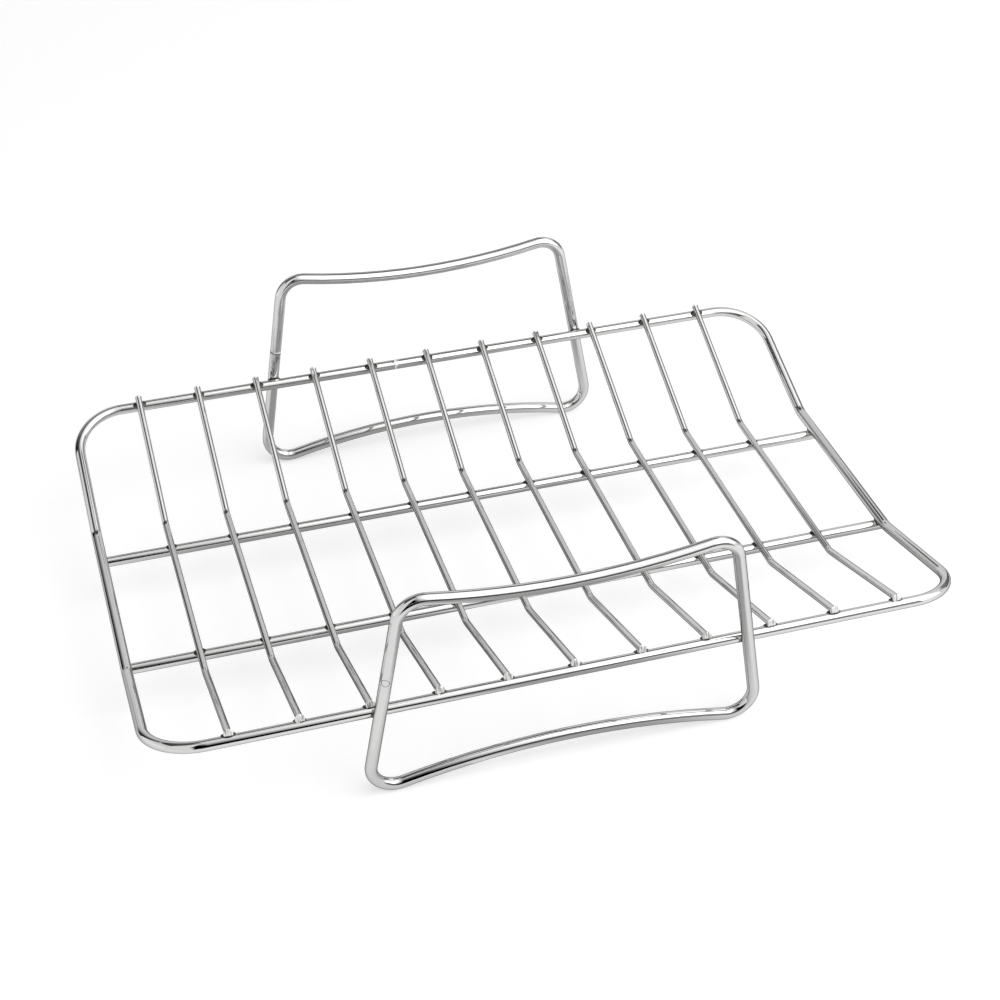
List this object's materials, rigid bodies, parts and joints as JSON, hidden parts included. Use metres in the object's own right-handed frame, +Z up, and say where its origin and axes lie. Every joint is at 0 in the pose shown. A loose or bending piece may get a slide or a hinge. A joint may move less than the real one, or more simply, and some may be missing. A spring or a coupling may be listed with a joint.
{
  "type": "roasting rack",
  "caption": "Welded wire roasting rack: a shallow trough of cross rods in a bent rim, carried by upright end loops that serve as both handles and feet.",
  "frame": {"origin": "centre of the bounding box in X and Y, at the height of the feet's lowest points, where the rack stands", "axes": "+X along the long sides of the rim, +Y towards the back loop, +Z up"},
  "size_m": [0.372, 0.27, 0.1074],
  "materials": {
    "wire_steel": "gloss"
  },
  "bodies": {
    "root": {"rim_wire": "wire_steel", "support_bar_front": "wire_steel", "support_bar_back": "wire_steel", "handle_loop_front": "wire_steel", "handle_loop_back": "wire_steel", "cross_rod_01": "wire_steel", "cross_rod_02": "wire_steel", "cross_rod_03": "wire_steel", "cross_rod_04": "wire_steel", "cross_rod_05": "wire_steel", "cross_rod_06": "wire_steel", "cross_rod_07": "wire_steel", "cross_rod_08": "wire_steel", "cross_rod_09": "wire_steel", "cross_rod_10": "wire_steel", "cross_rod_11": "wire_steel"}
  },
  "joints": []
}
